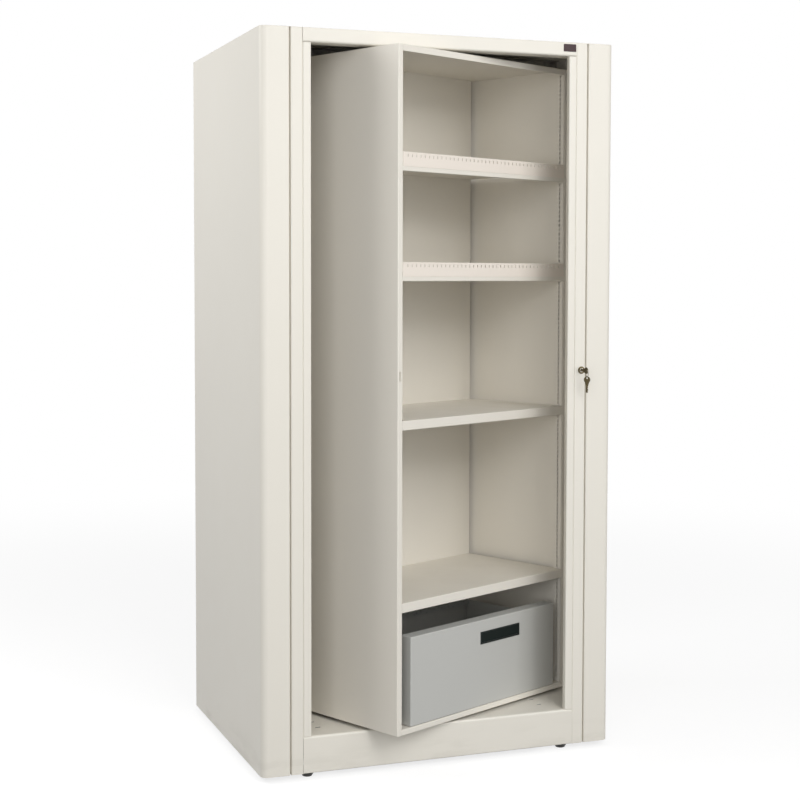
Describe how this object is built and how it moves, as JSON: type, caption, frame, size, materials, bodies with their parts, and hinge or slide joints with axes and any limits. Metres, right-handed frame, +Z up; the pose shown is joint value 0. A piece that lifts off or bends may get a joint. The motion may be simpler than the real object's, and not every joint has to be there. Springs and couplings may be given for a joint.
{
  "type": "rotary filing cabinet",
  "caption": "Tall sheet-metal filing cabinet with a turning square stack of shelves, a file drawer in its bottom tier and a cam lock with keys.",
  "frame": {"origin": "middle of the footprint on the ground, on the rotor's axis", "axes": "+Z up along the rotor's axis, front opening towards -Y, +X to the right seen from the front"},
  "size_m": [1, 0.9242, 1.93],
  "materials": {
    "housing_paint": "satin powder coat, warm off-white",
    "rotor_paint": "satin powder coat, light grey-beige",
    "lip_paint": "satin powder coat, cream",
    "drawer_paint": "satin powder coat, cool grey",
    "plain_steel": "grey primed steel",
    "zinc_steel": "zinc plated",
    "ball_steel": "polished ball steel",
    "cage_brass": "plain brass",
    "bush_bronze": "sintered bronze",
    "black_plastic": "moulded, matte",
    "badge": "dark, satin",
    "label_black": "black card insert",
    "label_steel": "black enamelled frame",
    "lock_nickel": "dull nickel plate",
    "key_nickel": "worn dull nickel"
  },
  "bodies": {
    "housing": {"left_side_panel": "housing_paint", "right_side_panel": "housing_paint", "top_panel": "housing_paint", "front_header": "housing_paint", "rear_header": "housing_paint", "front_left_jamb": "housing_paint", "front_right_jamb": "housing_paint", "rear_jambs": "housing_paint", "opening_strips": "housing_paint", "front_base": "housing_paint", "rear_base": "housing_paint", "floor_plate": "housing_paint", "floor_channels": "plain_steel", "frame_screws": "zinc_steel", "corner_gussets": "plain_steel", "foot_pads": "black_plastic", "foot_stems": "zinc_steel", "foot_nuts": "zinc_steel", "turntable_lower_plate": "plain_steel", "top_pivot_beam": "plain_steel", "pivot_pin": "plain_steel", "name_plate": "badge", "lock_body": "lock_nickel", "lock_nut": "zinc_steel"},
    "ball_ring": {"bearing_balls": "ball_steel", "bearing_cage": "cage_brass"},
    "rotor": {"left_end_panel": "rotor_paint", "right_end_panel": "rotor_paint", "rotor_top": "rotor_paint", "rotor_pan": "rotor_paint", "rotor_posts": "rotor_paint", "shelf_1": "rotor_paint", "shelf_2": "rotor_paint", "shelf_3": "rotor_paint", "shelf_4": "rotor_paint", "tier_divider_1": "rotor_paint", "tier_divider_2": "rotor_paint", "tier_divider_3": "rotor_paint", "tier_divider_4": "rotor_paint", "tier_divider_5": "rotor_paint", "file_lips": "lip_paint", "shelf_clips": "zinc_steel", "rotor_joists": "plain_steel", "turntable_upper_plate": "plain_steel", "top_bush": "bush_bronze", "drawer_supports": "zinc_steel", "drawer_outer_slides": "zinc_steel"},
    "drawer": {"drawer_front": "drawer_paint", "drawer_box": "drawer_paint", "label_frame": "label_steel", "label_card": "label_black", "hanging_rails": "zinc_steel", "drawer_inner_slides": "zinc_steel"},
    "lock": {"lock_plug": "lock_nickel", "lock_cam": "zinc_steel", "key": "key_nickel"},
    "keys": {"key_ring": "key_nickel", "spare_key": "key_nickel"}
  },
  "joints": [
    {"name": "rotor_turn", "type": "hinge", "parent": "housing", "child": "rotor", "pos_m": [0, 0, 0.12], "axis": [0, 0, 1], "continuous": true},
    {"name": "ball_ring_turn", "type": "hinge", "parent": "housing", "child": "ball_ring", "pos_m": [0, 0, 0.1154], "axis": [0, 0, 1], "continuous": true},
    {"name": "drawer_slide", "type": "slide", "parent": "rotor", "child": "drawer", "axis": [0.4226, -0.9063, 0], "range_m": [0, 0.045]},
    {"name": "lock_turn", "type": "hinge", "parent": "housing", "child": "lock", "pos_m": [0.408, -0.36, 1.046], "axis": [0, 1, 0], "range_deg": [0, 90]},
    {"name": "key_swing", "type": "hinge", "parent": "lock", "child": "keys", "pos_m": [0.408, -0.3936, 1.046], "axis": [-1, 0, 0], "range_deg": [-20, 90]}
  ],
  "couplings": [
    {"joint": "ball_ring_turn", "follows": "rotor_turn", "ratio": 0.5}
  ]
}
